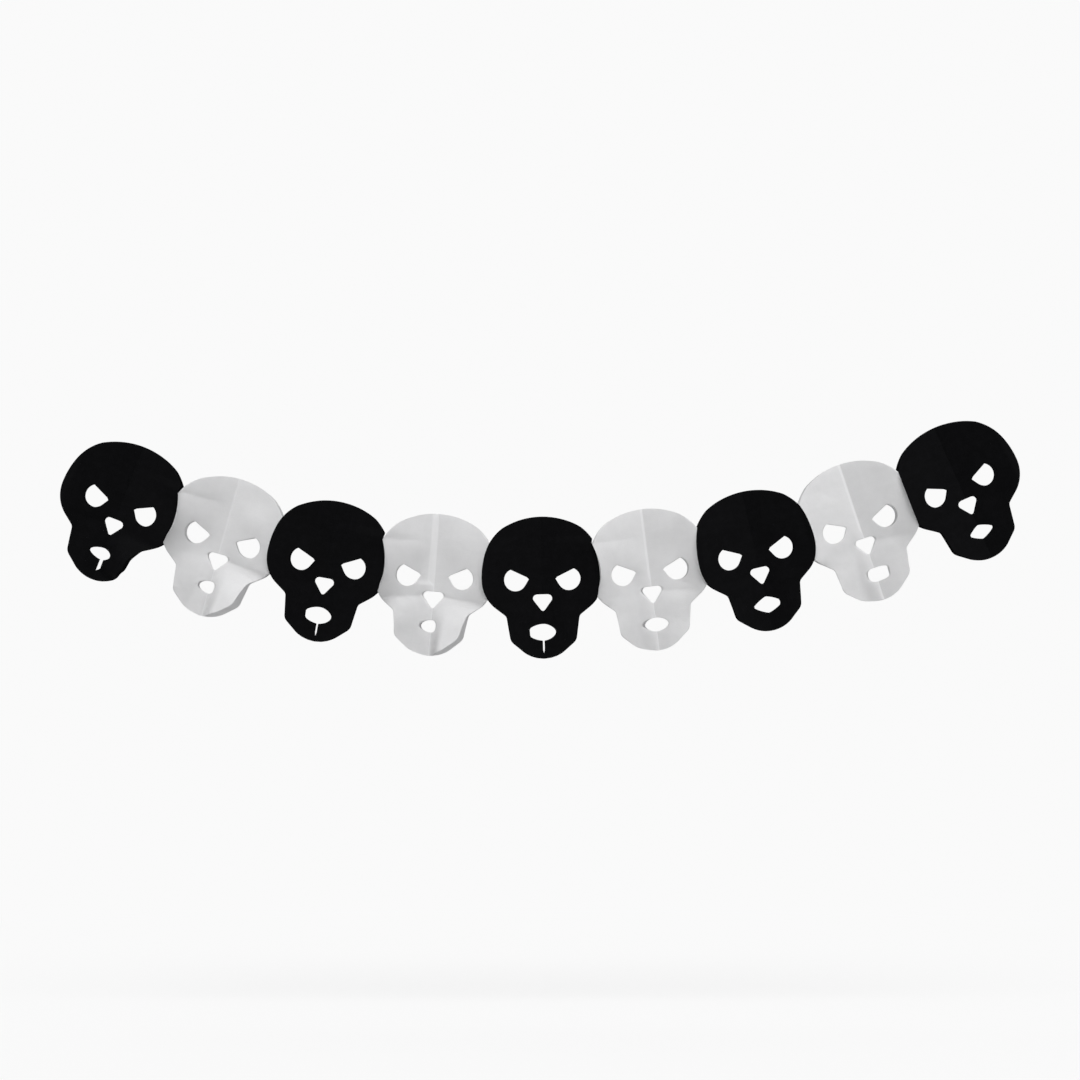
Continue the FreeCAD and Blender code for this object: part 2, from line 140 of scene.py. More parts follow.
class GARLAND_PG_folding(bpy.types.PropertyGroup):
    """How the sheets are folded and hung."""

    half_pitch: length("Half pitch", "Centreline to outer fold, at eye level", 52.2)
    turn_per_skull: angle("Turn", "How much each skull is turned against the one before", 5.67)
    first_tilt: angle("First tilt", "Tilt of the first skull, anticlockwise positive", -21.3)
    panel_angle: angle("Panel angle", "Angle of each half face to the garland's line", 22)
    glue_width: length("Glue width", "Depth of the glued strip on the centreline", 3)
    room: length("Room", "Thickness that the frame keeps for a sheet", 0.2)
    paper: length("Paper", "Thickness of the tissue itself", 0.09)


class GARLAND_PG_paper(bpy.types.PropertyGroup):
    """Colours and liveliness of the tissue."""

    black: colour("Black tissue", "Dye of the black sheets", (0.0020, 0.0020, 0.0023))
    white: colour("White tissue", "Body of the white sheets", (0.755, 0.755, 0.76))
    through: amount("Light through", "Share of light that white tissue passes on", 0.28)
    buckle: length("Buckle", "Height of the slow waves of a half face", 1.7)
    crumple: length("Crumple", "Height of the sharp handling creases", 0.5)


class GARLAND_PG_stage(bpy.types.PropertyGroup):
    """Floor, lights and camera."""

    floor_gap: length("Floor gap", "Floor below the lowest chin", 340)
    floor_size: length("Floor size", "Side of the floor", 14000)
    pale: amount("Pale", "Brightness of the ground seen behind the garland", 0.955)
    bounce: amount("Bounce", "Share of light that the floor throws back up", 0.35)
    sky: amount("Sky", "Strength of the even light", 0.32)
    key: amount("Key", "Strength of the far key lamp", 2.85)
    fill: amount("Fill", "Power of the fill lamp in watts", 10.0)
    back: amount("Back", "Strength of the far lamp behind", 1.25)
    lens: FloatProperty(name="Lens", description="Focal length", default=180.0, unit="CAMERA")
    filled: amount("Filled", "Share of the picture's width that the garland takes", 0.885)


# Curves of the outline and the holes

def ease(value, low, high):
    """A smooth step: 0 at low, 1 at high and 3t^2 - 2t^3 between. low may be the larger."""
    t = np.clip((value - low) / (high - low), 0.0, 1.0)
    return t * t * (3.0 - 2.0 * t)


def ease_in(z, levels):
    """ease between two levels that are given in millimetres."""
    return ease(z, levels[0] * MM, levels[1] * MM)


def arc_points(centre, start, end, count=40):
    """Points from start to end on the circle round centre, the short way round, one row each."""
    first = math.atan2(start[1] - centre[1], start[0] - centre[0])
    last = math.atan2(end[1] - centre[1], end[0] - centre[0])
    last = first + (last - first + math.pi) % (2 * math.pi) - math.pi
    turn = np.linspace(first, last, count)
    radius = math.dist(centre, start)
    return np.stack([centre[0] + radius * np.cos(turn), centre[1] + radius * np.sin(turn)], axis=1)


def rounded(before, corner, after, radius):
    """The arc that rounds a corner. It touches both lines at radius / tan(half angle) from it."""
    back = (np.array(before) - corner) / math.dist(before, corner)
    ahead = (np.array(after) - corner) / math.dist(after, corner)
    half = math.acos(float(np.dot(back, ahead))) / 2
    middle = (back + ahead) / np.linalg.norm(back + ahead) * radius / math.sin(half)
    cut = radius / math.tan(half)
    return arc_points(corner + middle, corner + back * cut, corner + ahead * cut)


def outline_curve(o):
    """The right half of the outline from crown to chin, one (x, z) row each, z always falling.

    on_axis is the centre of an arc that meets the centreline squarely, level that of an arc which
    is upright at the widest point."""
    crown, chin = (0.0, o.crown_up), (0.0, -o.chin_down)
    temple, side = (o.temple_out, o.temple_up), (o.side_out, o.side_up)
    widest, cheek = (o.widest_out, o.widest_up), (o.cheek_out, -o.cheek_down)
    notch, jaw = (o.notch_out, -o.notch_down), (o.jaw_out, -o.jaw_down)
    chin_side = (o.chin_out, -o.chin_side_down)

    def on_axis(end, top):
        return 0.0, (end[0] ** 2 + end[1] ** 2 - top[1] ** 2) / (2 * (end[1] - top[1]))

    def level(end):
        out, up = widest[0] - end[0], widest[1] - end[1]
        return widest[0] - (out**2 + up**2) / (2 * out), widest[1]

    chord = np.array(temple) - side
    rise = math.sqrt(o.temple_round**2 - float(chord @ chord) / 4)
    across = np.array((-chord[1], chord[0])) / np.linalg.norm(chord) * rise
    temple_centre = (np.array(side) + temple) / 2 + across
    return np.concatenate([
        arc_points(on_axis(temple, crown), crown, temple),
        arc_points(temple_centre, temple, side)[1:],
        arc_points(level(side), side, widest)[1:],
        arc_points(level(cheek), widest, cheek)[1:],
        rounded(cheek, notch, jaw, o.notch_round),
        rounded(notch, jaw, chin_side, o.jaw_round),
        arc_points(on_axis(chin_side, chin), chin_side, chin),
    ])


def half_width(curve, z):
    """How far the outline is from the centreline at each height z."""
    return np.interp(-z, -curve[:, 1], curve[:, 0])


class Eye:
    """A round eye that runs to a corner beside the nose, under a straight brow.

    Its outer side is the circle. Its inner side is the brow line above the corner, and below it the
    tangent from the corner to the circle, and then the circle."""

    def __init__(self, f):
        self.middle, self.corner = (f.eye_out, f.eye_up), (f.eye_corner_out, f.eye_corner_up)
        self.radius, self.slope = f.eye_round, math.tan(f.brow_slope)
        off = np.array(self.corner) - self.middle
        bearing = math.atan2(off[1], off[0]) + math.acos(self.radius / np.linalg.norm(off))
        self.touch = (
            self.middle[0] + self.radius * math.cos(bearing),
            self.middle[1] + self.radius * math.sin(bearing),
        )
        brow = np.array((math.cos(f.brow_slope), math.sin(f.brow_slope)))
        reach = float(-off @ brow)
        far = reach + math.sqrt(self.radius**2 - float(off @ off) + reach**2)
        self.top = self.corner[1] + far * brow[1]
        self.top_out = self.corner[0] + far * brow[0]
        self.bottom, self.bottom_out = self.middle[1] - self.radius, self.middle[0]

    def sides(self, z):
        """The hole's inner and outer x at each height z, for heights between bottom and top."""
        inside = np.sqrt(np.clip(self.radius**2 - (z - self.middle[1]) ** 2, 0.0, None))
        brow = self.corner[0] + (z - self.corner[1]) / self.slope
        share = (z - self.touch[1]) / (self.corner[1] - self.touch[1])
        under = self.touch[0] + share * (self.corner[0] - self.touch[0])
        low = np.where(z > self.touch[1], under, self.middle[0] - inside)
        inner = np.where(z > self.corner[1], brow, low)
        outer = self.middle[0] + inside
        return np.minimum(inner, outer), outer


def nose_half_width(f, z):
    """Half width of the nose: the upper corner's arc, the straight side, then the tip's arc."""
    big, small = f.nose_round, f.nose_tip_round
    drop = f.nose_tip_down - f.nose_down
    lean = math.atan2(drop, f.nose_out) - math.acos((small - big) / math.hypot(f.nose_out, drop))
    side = (math.cos(lean), math.sin(lean))
    high = (f.nose_out + side[0] * big, -f.nose_down + side[1] * big)
    low = (side[0] * small, -f.nose_tip_down + side[1] * small)
    corner = f.nose_out + np.sqrt(np.clip(big**2 - (z + f.nose_down) ** 2, 0.0, None))
    tip = np.sqrt(np.clip(small**2 - (z + f.nose_tip_down) ** 2, 0.0, None))
    straight = low[0] + (z - low[1]) / (high[1] - low[1]) * (high[0] - low[0])
    return np.where(z > high[1], corner, np.where(z > low[1], straight, tip))


FLAT = 0.985  # share of its height at which a hole's top or bottom is cut flat


class Mouth:
    """Half of a mouth, cut in one half face, with the slit that runs on under it.

    Its edge is |x / reach|^power + |(z - level) / half_height|^power = 1, cut flat just inside its
    top and bottom: power 2 is an ellipse and a power near 1 a lozenge. Sizes are in millimetres."""

    def __init__(self, reach, level, half_height, power, slit=0.0, slit_end=70.0):
        self.reach, self.level, self.half_height = reach * MM, -level * MM, half_height * MM
        self.power, self.slit, self.slit_end = power, slit * MM, -slit_end * MM
        self.top = self.level + FLAT * self.half_height
        self.bottom = self.level - FLAT * self.half_height

    def edge(self, z):
        high = np.clip(np.abs(z - self.level) / self.half_height, 0.0, 1.0)
        hole = self.reach * (1.0 - high**self.power) ** (1.0 / self.power)
        tail = self.slit * ease(z, self.slit_end, self.slit_end + 4 * MM) * (z < self.level)
        return np.maximum(hole, tail)


# How the skulls differ: sizes in millimetres, angles in degrees

# A mouth's half in the left and in the right half face: reach, level, half height, power, and
# then the slit's half width and its end
OVAL, LOZENGE, SMALL = (49.4, 8.1, 1.75, 0.8), (49.4, 8.0), (46.4, 6.0)
MOUTHS = {
    1: ((13.2, 48.4, 5.8, 1.6), (11.6, 48.4, 5.8, 1.8, 4.6, 66)),
    2: ((10.6, *SMALL, 1.9), (5.8, *SMALL, 2.3)),
    3: ((15.4, *OVAL), (12.4, *OVAL)),
    4: ((9.8, *SMALL, 1.9), (5.5, *SMALL, 2.3)),
    5: ((15.8, *OVAL), (12.2, *OVAL)),
    6: ((10.8, 49.8, 6.8, 1.7), (12.4, 49.8, 6.8, 1.8)),
    7: ((13.6, *LOZENGE, 1.2), (15.4, *LOZENGE, 1.3)),
    8: ((7.5, 49.6, 6.8, 2.6), (14.6, 49.6, 6.8, 3.4)),
    9: ((11.4, 47.7, 7.0, 1.2), (14.4, 47.7, 7.0, 1.25)),
}

# The other tables give (left, right) of a skull. A half face is bent back by its kick, below the
# level where kicks start, and its jaw is swung in about the centreline, down to the swing's end
KICKS = {2: (-5, 17), 4: (-8, 17), 6: (-9, 2), 8: (-9, 2)}
KICK_STARTS = {"left": -10, "right": 24}
SWINGS = {1: (0, 22), 2: (0, 7), 4: (0, 7)}
BACK_SWINGS = {1: (0, 22)}
SWING_ENDS, NO_SWING_END = {1: (200, 69)}, 200

# The depth of the crease across a half face just under the eye, how far the half face lies back
# beside a flap that stands out, and the width that shows as glued beside the centreline
NODS, FLAT_NOD = {2: (0.5, 4.2), 4: (3.4, 4.0), 6: (0.2, 2.2), 8: (0.2, 1.7)}, 0.8
PULLED = {2: (6.0, 0), 4: (5.0, 0), 6: (3.0, 0), 8: (1.5, 0)}
BARE_GLUE = 0.5
GLUE_WIDTHS = {2: (1.2, 0.5), 4: (7.0, 0.5), 6: (2.4, 0.5), 8: (2.4, 0.5)}

# Each seam, from the one between skulls 1 and 2: its glued flaps' lean to the viewer's left in
# degrees, how closely its fold hugs the black sheet's outline, and how far inside it lies
SEAM_LEANS = (-12, 68, -12, 68, -12, 44, -52, 6)
SEAM_HUGS = (1, 0, 1, 0, 1, 0, 0, 0)
SEAM_INSETS = (5.2, 0, 5.0, 0, 4.2, 0, 0, 0)
END_LEAN = -90  # of the free flaps at the garland's two ends

# Levels in millimetres between which a form eases in, from none at the first to all at the second
INSET_TOP, INSET_END = (41, 34.5), (-21, -6)
HUG_TOP, HUG_END = (43, 39), (-24, -14)
PULL_TOP, PULL_END = (48, -10), (-48, -12)
SWING_LEVELS, GLUE_LEVELS = (-23, -48), (-9, -2)

# How far the pull reaches from the fold, the kick from the centreline and below its start, and
# the glue above and below a flap. Then the crease under the eye, and the glued band's slope
PULL_REACH, KICK_REACH, KICK_ROUND = 18 * MM, 15 * MM, 8 * MM
GLUE_ABOVE, GLUE_BELOW, STUCK_FROM = 14 * MM, 16 * MM, 0.55
NOD_REACH, NOD_OUT, NOD_DOWN, NOD_SLOPE = 15 * MM, 20 * MM, 19 * MM, 0.12
BAND_START, BAND_SLOPE = 2 * MM, 0.26


def pick(table, number, side, default=0.0):
    """The number for one side of one skull."""
    return table[number][side == "right"] if number in table else default


# The folded sheet

class Waves:
    """A smooth random field on the sheet and sharp handling creases, both from one seed.

    value = sum of sines of random direction and phase. creases = sum of cusps
    exp(-|distance to a random line| / width), bounded along the line by a bell curve."""

    def __init__(self, seed):
        draw = np.random.default_rng(seed)
        self.slow = [
            (draw.uniform(0, 2 * math.pi), draw.uniform(34, 78) * MM, draw.uniform(0, 2 * math.pi))
            for _ in range(5)
        ]
        self.creases = [
            (
                draw.uniform(8, 48) * MM,
                draw.uniform(-62, 52) * MM,
                draw.uniform(0, math.pi),
                draw.uniform(3, 8) * MM,
                draw.uniform(10, 26) * MM,
                draw.uniform(-1, 1),
            )
            for _ in range(16)
        ]

    def value(self, x, z):
        total = 0.0
        for bearing, wave, phase in self.slow:
            run = x * math.cos(bearing) + z * math.sin(bearing)
            total = total + np.sin(run * (2 * math.pi / wave) + phase)
        return total / len(self.slow)

    def crumple(self, x, z):
        total = 0.0
        for out, up, bearing, width, reach, height in self.creases:
            along = (x - out) * math.cos(bearing) + (z - up) * math.sin(bearing)
            off = (z - up) * math.cos(bearing) - (x - out) * math.sin(bearing)
            total = total + height * np.exp(-np.abs(off) / width) * np.exp(-((along / reach) ** 2))
        return total


def fold_depth(sizes):
    """The y of the outer fold at eye level, on the back of a sheet as thick as the frame's."""
    theta = sizes.panel_angle
    front = sizes.room / math.cos(theta) - sizes.glue_width / 2
    return front - sizes.half_pitch * math.tan(theta)


class Fold:
    """The outer fold and flap of one half face, in the right front quarter's directions.

    along is the fold's direction and across the flap's, square to it and leaning by lean. base is
    the middle of the paper at the fold, at eye level: it lies half the frame's thickness from both
    outer faces. crease is the same at the centreline, where the sheets touch."""

    def __init__(self, lean, sizes, shift=None):
        theta, beta = sizes.panel_angle, sizes.turn_per_skull / 2
        self.beta, self.theta, self.shift = beta, theta, shift
        room, strip = sizes.room, sizes.glue_width / 2
        self.panel_face = np.array((-math.sin(theta), -math.cos(theta), 0.0))
        self.along = np.array((-math.tan(beta), math.tan(beta) * math.tan(theta), 1.0))
        self.along /= np.linalg.norm(self.along)
        front = np.array((math.cos(beta), 0.0, math.sin(beta)))
        lean = math.radians(lean)
        across = -math.sin(lean) * front + math.cos(lean) * np.array((0.0, -1.0, 0.0))
        into = np.cross(across, self.along)
        into /= np.linalg.norm(into)
        self.across = np.cross(self.along, into)
        corner = (into + self.panel_face) / (1.0 + float(into @ self.panel_face)) * room / 2
        self.base = np.array((sizes.half_pitch, fold_depth(sizes), 0.0)) + corner
        outward = np.array((1.0, 0.0, 0.0))
        crease = (outward - self.panel_face) / (1.0 + math.sin(theta)) * room / 2
        self.crease = np.array((sizes.paper / 2 - TOUCH, crease[1] - strip, 0.0))

    def line(self, z):
        """Where the fold lies at each height: straight, leaning by half the turn, and shifted."""
        x = self.base[0] - z * math.tan(self.beta)
        y = self.base[1] + z * math.tan(self.beta) * math.tan(self.theta)
        return x + (self.shift(z) if self.shift else 0.0), y


def seam_shift(curve, sizes, hug, inset):
    """How far a seam's fold is moved away from the black skull's centreline, by height.

    Where it hugs, the fold is the black outline less an inset that starts sharply at the temple,
    which leaves a small step there, and ends gently at the cheek."""
    def shift(z):
        depth = inset * MM * ease_in(z, INSET_TOP) * ease_in(z, INSET_END)
        straight = sizes.half_pitch - z * math.tan(sizes.turn_per_skull / 2)
        wanted = half_width(curve, z) - depth
        held = ease_in(z, HUG_TOP) * ease_in(z, HUG_END)
        return hug * held * (wanted - straight)
    return shift


def breaks(levels, counts):
    """Heights from top to bottom, with cosine steps, so closer together beside each level."""
    rows = [np.array(levels[:1])]
    for high, low, count in zip(levels, levels[1:], counts):
        step = (1 - np.cos(np.linspace(0, math.pi, count + 1)[1:])) / 2
        rows.append(high + (low - high) * step)
    return np.concatenate(rows)


TOUCH = 0.0005 * MM  # the two sheets of a skull press this far into each other's middle plane
ROW_GAP = 1.25 * MM  # mean distance of the grid's rows
LEAST_ROWS = 4  # steps between two levels, at least
LEAST_STEP = 0.1 * MM  # levels closer than this have one step between them
TIP = 0.015 * MM  # how far inside the crown and the chin the sheet ends
CORE = 5.4 * MM  # width of the core strip above the nose
CORE_SHARE = 0.4  # of the half face, which the core never passes
CLOSING = 8 * MM  # height under the mouth in which the core runs out
HALF_AGAIN = 22 * MM  # height under the eye in which the dividing line comes back to the middle
CORE_COLUMNS, INNER_COLUMNS, OUTER_COLUMNS, FLAP_COLUMNS, STRIP_COLUMNS = 5, 11, 15, 5, 3
NO_WIDTH = 1e-9
WELD, THIN_EDGE = 4e-6, 2e-6  # nearer points are joined, and shorter edges go
SMOOTH_UNDER = 32  # degrees between two faces, up to which they look like one


def heights(o, f, eye, mouth, fold, curve):
    """The grid's rows, and the heights between which there is a flap, or None.

    Every level where a hole, a flap or the outline starts or ends is a row."""
    dense = np.linspace(o.crown_up, -o.chin_down, 2000)
    beyond = dense[half_width(curve, dense) > fold.line(dense)[0]]
    flap_range = (beyond.max(), beyond.min()) if len(beyond) else None
    levels = [
        o.crown_up - TIP, eye.top, eye.bottom, f.nose_round - f.nose_down, nose_tip(f),
        mouth.top, mouth.bottom, -o.chin_down + TIP,
    ]
    levels += flap_range or ()
    if mouth.slit:
        levels.append(mouth.slit_end)
    levels = sorted(set(levels), reverse=True)
    counts = [
        1 if high - low < LEAST_STEP else max(LEAST_ROWS, round((high - low) / ROW_GAP))
        for high, low in zip(levels, levels[1:])
    ]
    return breaks(levels, counts), flap_range


def nose_tip(f):
    """The level at which the tip of the nose is cut flat, just inside its lowest point."""
    return -f.nose_tip_down - FLAT * f.nose_tip_round


class Quarter:
    """One half face with its flap, as grids of points in the skull's own frame.

    The half face is three strips of columns side by side: a core beside the centreline, which ends
    at the edge of the nose and the mouth and is left out beside those holes, and then two strips,
    inside and outside a dividing line that opens round the eye, up to the outline or the fold.
    Then it is folded: y = crease y + slope * x, pushed along the half face's normal by the waves,
    and the flap turns off at the fold."""

    def __init__(self, number, side, face, looks, mouth, fold, seed, kick=0.0, swing=0.0):
        o, f = looks["outline"], looks["face"]
        self.fold, self.paper, self.waves = fold, looks["paper"], Waves(seed)
        self.kick, self.swing = math.radians(kick), math.radians(swing)
        self.kick_start = -KICK_STARTS[side] * MM
        self.swing_end = -pick(SWING_ENDS, number, side, NO_SWING_END) * MM
        self.nod = pick(NODS, number, side, FLAT_NOD) * MM
        self.pull, self.glue = 0.0, BARE_GLUE * MM
        if face == "front":
            self.pull = pick(PULLED, number, side) * MM
            self.glue = pick(GLUE_WIDTHS, number, side, BARE_GLUE) * MM
        eye = Eye(f)
        rows, self.flap_range = heights(o, f, eye, mouth, fold, looks["curve"])
        self.rows = rows
        out = half_width(looks["curve"], rows)
        fold_x = fold.line(rows)[0]
        edge = np.minimum(out, fold_x)
        nose = (f.nose_round - f.nose_down, nose_tip(f))
        hole = (mouth.top, mouth.slit_end if mouth.slit else mouth.bottom)
        inner = self.core_edge(rows, f, mouth, nose, hole, edge)
        middle = (rows[:-1] + rows[1:]) / 2
        beside = [(middle < high) & (middle > low) for high, low in (nose, hole)]
        self.closed = ~(beside[0] | beside[1])
        part = self.divide(rows, inner, edge, eye)
        eye_in, eye_out = eye.sides(rows)
        in_eye = (rows < eye.top) & (rows > eye.bottom)
        left = np.where(in_eye, eye_in, part)
        right = np.where(in_eye, eye_out, part)
        self.core_x = self.between(np.full_like(rows, fold.crease[0]), inner, CORE_COLUMNS)
        self.inner_x = self.between(inner, left, INNER_COLUMNS)
        self.outer_x = self.between(right, edge, OUTER_COLUMNS)
        self.out, self.fold_x = out, fold_x

    def core_edge(self, rows, f, mouth, nose, hole, edge):
        """The core's outer edge: the edge of the nose or mouth beside a hole, and elsewhere a line
        that runs straight from one hole's end to the next."""
        tip_out = float(nose_half_width(f, np.array(nose[1])))
        ends = [float(mouth.edge(np.array(level))) for level in (mouth.top, mouth.bottom)]
        levels = [-rows[0], -nose[0], -nose[1], -mouth.top, -mouth.bottom]
        levels += [CLOSING - mouth.bottom, -rows[-1]]
        line = np.interp(-rows, levels, [CORE, CORE, tip_out, ends[0], ends[1], 0.0, 0.0])
        in_nose = (rows <= nose[0]) & (rows >= nose[1])
        in_mouth = (rows <= hole[0]) & (rows >= hole[1])
        line = np.where(in_mouth, mouth.edge(rows), line)
        line = np.where(in_nose, nose_half_width(f, rows), line)
        return np.maximum(np.minimum(line, edge * CORE_SHARE), self.fold.crease[0])

    @staticmethod
    def between(first, last, count):
        """Columns in even steps from first to last, one row of the result for each row."""
        share = np.linspace(0.0, 1.0, count)
        return first[:, None] + (last - first)[:, None] * share[None, :]

    @staticmethod
    def divide(rows, inner, edge, eye):
        """The dividing line: through the eye's top and bottom, and halfway far from it."""
        span = np.maximum(edge - inner, NO_WIDTH)

        def share_at(z, x):
            return (x - np.interp(-z, -rows, inner)) / np.interp(-z, -rows, span)

        top, low = share_at(eye.top, eye.top_out), share_at(eye.bottom, eye.bottom_out)
        levels = [-rows[0], -eye.top, -eye.bottom, -eye.bottom + HALF_AGAIN, -rows[-1]]
        return inner + span * np.interp(-rows, levels, [0.5, top, low, 0.5, 0.5])

    def place(self, x, z):
        """The half face in space. x and z are arrays of one shape.

        A straight slope runs from crease to fold, plus the flattened band, the pull and the push.
        Below the kick's start it is bent back by its sine times drop^2 / (drop + KICK_ROUND), and
        then it is turned about the centreline by the swing."""
        fold_x, fold_y = self.fold.line(z)
        crease = self.fold.crease
        reach = fold_x - crease[0]
        slope = (fold_y - crease[1]) / reach
        run = x - crease[0]
        u = run / reach
        y = crease[1] + run * slope + self.flattened(run, z, reach) + self.pulled(u, z)
        push = self.push(x, z, np.clip(u, 0.0, 1.2))
        normal = self.fold.panel_face
        px, py, pz = x + push * normal[0], y + push * normal[1], z.copy()
        drop = np.clip(self.kick_start - z, 0.0, None)
        stuck = self.glued(z) * ease(u, STUCK_FROM, 1.0)
        loose = ease(run, 0.0, KICK_REACH) * (1.0 - stuck) * drop**2 / (drop + KICK_ROUND)
        kicked = loose * math.sin(self.kick)
        px, py = px + kicked * normal[0], py + kicked * normal[1]
        pz = pz + loose * (1 - math.cos(self.kick))
        first = np.arctan(-slope)
        kept = ease(z, self.swing_end - MM, self.swing_end + 10 * MM)
        turn = first + self.swing * ease_in(z, SWING_LEVELS) * kept
        px = px + run * (np.cos(turn) / np.cos(first) - 1.0)
        py = py - run * (np.sin(turn) / np.cos(first) - np.tan(first))
        return np.stack([px, py, pz], axis=-1)

    def glue_width(self, z):
        """The width that shows as glued at each height, narrow below the brow."""
        narrow = BARE_GLUE * MM
        return narrow + (self.glue - narrow) * ease_in(z, GLUE_LEVELS)

    def flattened(self, run, z, reach):
        """A wide glued band nearly faces the viewer: it lies back by BAND_SLOPE of its width at its
        edge, and the half face takes that up again between there and the fold."""
        band = np.clip(self.glue_width(z) - BAND_START, 0.0, None)
        after = np.clip(run - band, 0.0, None) / np.maximum(reach - band, MM)
        return BAND_SLOPE * (np.minimum(run, band) - band * np.clip(after, 0.0, 1.0))

    def pulled(self, u, z):
        """Where the flap stands out, the half face lies back beside it: d * exp(1 - d) of the pull,
        where d is the distance from the fold over PULL_REACH."""
        d = np.clip(1.0 - u, 0.0, 1.0) * (self.fold.base[0] / PULL_REACH)
        levels = ease_in(z, PULL_TOP) * ease_in(z, PULL_END)
        return self.pull * d * np.exp(1.0 - d) * levels * ease(u, 0.0, 0.3)

    def glued(self, z):
        """1 at the heights where the outer flap is glued, fading out above and below."""
        high, low = self.flap_range or (0.0, 0.0)
        return ease(z, high + GLUE_ABOVE, high) * ease(z, low - GLUE_BELOW, low)

    def push(self, x, z, u):
        """How far the half face bulges towards the viewer, nothing at the glued edges.

        It is the waves and creases, less a fold of exp(-|distance| / NOD_REACH) under the eye."""
        paper, glued = self.paper, self.glued(z)
        free = ease(u, 0.0, 0.6)
        window = glued * np.clip(4 * u * (1 - u), 0, 1) + (1 - glued) * free
        bend = z + NOD_DOWN + (x - NOD_OUT) * NOD_SLOPE
        nod = -self.nod * np.exp(-np.abs(bend) / NOD_REACH)
        total = paper.buckle * self.waves.value(x, z) + paper.crumple * self.waves.crumple(x, z)
        return window * (total + nod)

    def flap(self):
        """The flap's points from the fold to the outline: a point of the fold + width * across."""
        high, low = self.flap_range
        inside = (self.rows <= high + NO_WIDTH) & (self.rows >= low - NO_WIDTH)
        z = self.rows[inside]
        width = np.clip(self.out[inside] - self.fold_x[inside], 0.0, None)
        width = width * math.cos(self.fold.beta)
        w = self.between(np.zeros_like(width), width, FLAP_COLUMNS)
        foot = z[:, None] - w * math.sin(self.fold.beta)
        foot = np.where(w > 0, foot, z[:, None])
        base_x, base_y = self.fold.line(foot)
        base = np.stack([base_x, base_y, foot], axis=-1)
        flat_x = self.fold_x[inside][:, None] + w
        return base + w[..., None] * self.fold.across, flat_x, np.broadcast_to(z[:, None], w.shape)

    def grids(self):
        """(points, flat x, flat z, rows kept) of the core, the inner and outer strip, the flap."""
        found = []
        for x, kept in ((self.core_x, self.closed), (self.inner_x, None), (self.outer_x, None)):
            z = np.broadcast_to(self.rows[:, None], x.shape)
            found.append((self.place(x, z), x, z, kept))
        if self.flap_range:
            found.append((*self.flap(), None))
        return found


def grid_faces(rows, columns, start):
    """The corner numbers of each cell of a grid whose points count row by row from start."""
    row, column = np.arange(rows - 1)[:, None], np.arange(columns - 1)[None, :]
    corner = (row * columns + column + start).reshape(-1, 1)
    return np.concatenate([corner, corner + columns, corner + columns + 1, corner + 1], axis=1)


def turned(points, tilt):
    """Points turned by tilt in the plane that the garland hangs in."""
    cos, sin = math.cos(tilt), math.sin(tilt)
    x, y, z = np.moveaxis(points, -1, 0)
    return np.stack([x * cos - z * sin, y, x * sin + z * cos], axis=-1)


FLAT_SPAN = 0.16  # metres of the flat sheet that its map spans


class Sheet:
    """One whole sheet: front and back quarters and the glued strip between them."""

    def __init__(self, front, back, side):
        self.points, self.faces, self.flat, self.glue = [], [], [], []
        self.count = 0
        for quarter, depth in ((front, 1), (back, -1)):
            for points, flat_x, flat_z, kept in quarter.grids():
                glue = np.clip(1.0 - flat_x / quarter.glue_width(flat_z), -1.0, 1.0)
                self.add(points * (1, depth, 1), flat_x * depth, flat_z, glue, depth < 0, kept)
        self.strip(front, back)
        self.side = side

    def add(self, points, flat_x, flat_z, glue, flip=False, keep=None):
        rows, columns = flat_x.shape
        faces = grid_faces(rows, columns, self.count)
        if keep is not None:
            faces = faces[np.repeat(keep, columns - 1)]
        self.faces.append(faces[:, ::-1] if flip else faces)
        self.points.append(points.reshape(-1, 3))
        self.flat.append(np.stack([flat_x.reshape(-1), flat_z.reshape(-1)], axis=1))
        self.glue.append(glue.reshape(-1))
        self.count += rows * columns

    def strip(self, front, back):
        """The glued strip at the centreline, straight from front crease to back crease."""
        rows, crease = front.rows, front.fold.crease
        share = np.linspace(-1.0, 1.0, STRIP_COLUMNS)
        y = np.broadcast_to(share * -crease[1], (len(rows), STRIP_COLUMNS))
        z = np.broadcast_to(rows[:, None], y.shape)
        points = np.stack([np.full_like(y, crease[0]), y, z], axis=-1)
        self.add(points, np.zeros_like(y), z, np.ones_like(y), flip=True, keep=front.closed)

    def arrays(self, number, looks):
        """Points in the row frame, faces and flat coordinates, with left sheets mirrored in x."""
        points, flat = np.concatenate(self.points), np.concatenate(self.flat)
        faces = np.concatenate(self.faces)
        if self.side == "left":
            points, faces = points * (-1, 1, 1), faces[:, ::-1]
        tilt, base = looks["places"][number - 1]
        return turned(points, tilt) + base, faces, flat, np.concatenate(self.glue)


def hanging_places(sizes, outline, end_fold):
    """Tilt and base of each skull: they meet at their folds, each turned a little more.

    The first skull stands where its back end flap's outer face is at the origin."""
    middle = (outline.widest_out - sizes.half_pitch) / 2
    out_of_fold = end_fold.across * middle + end_fold.along * outline.widest_up
    into = np.cross(end_fold.across, end_fold.along)
    on_flap = np.array((sizes.half_pitch, fold_depth(sizes), 0.0)) + out_of_fold + into * sizes.room
    face = np.array((-on_flap[0], -on_flap[1], on_flap[2]))
    tilt, places = sizes.first_tilt, []
    base = -turned(face, tilt)
    for number in range(SKULLS):
        half_step = turned(np.array((sizes.half_pitch, 0.0, 0.0)), tilt)
        base = base + half_step if number else base
        places.append((tilt, base))
        base = base + half_step
        tilt += sizes.turn_per_skull
    return places


def add_object(name, data):
    """A new object of this mesh, lamp or camera, in the scene."""
    thing = bpy.data.objects.new(name, data)
    bpy.context.scene.collection.objects.link(thing)
    return thing


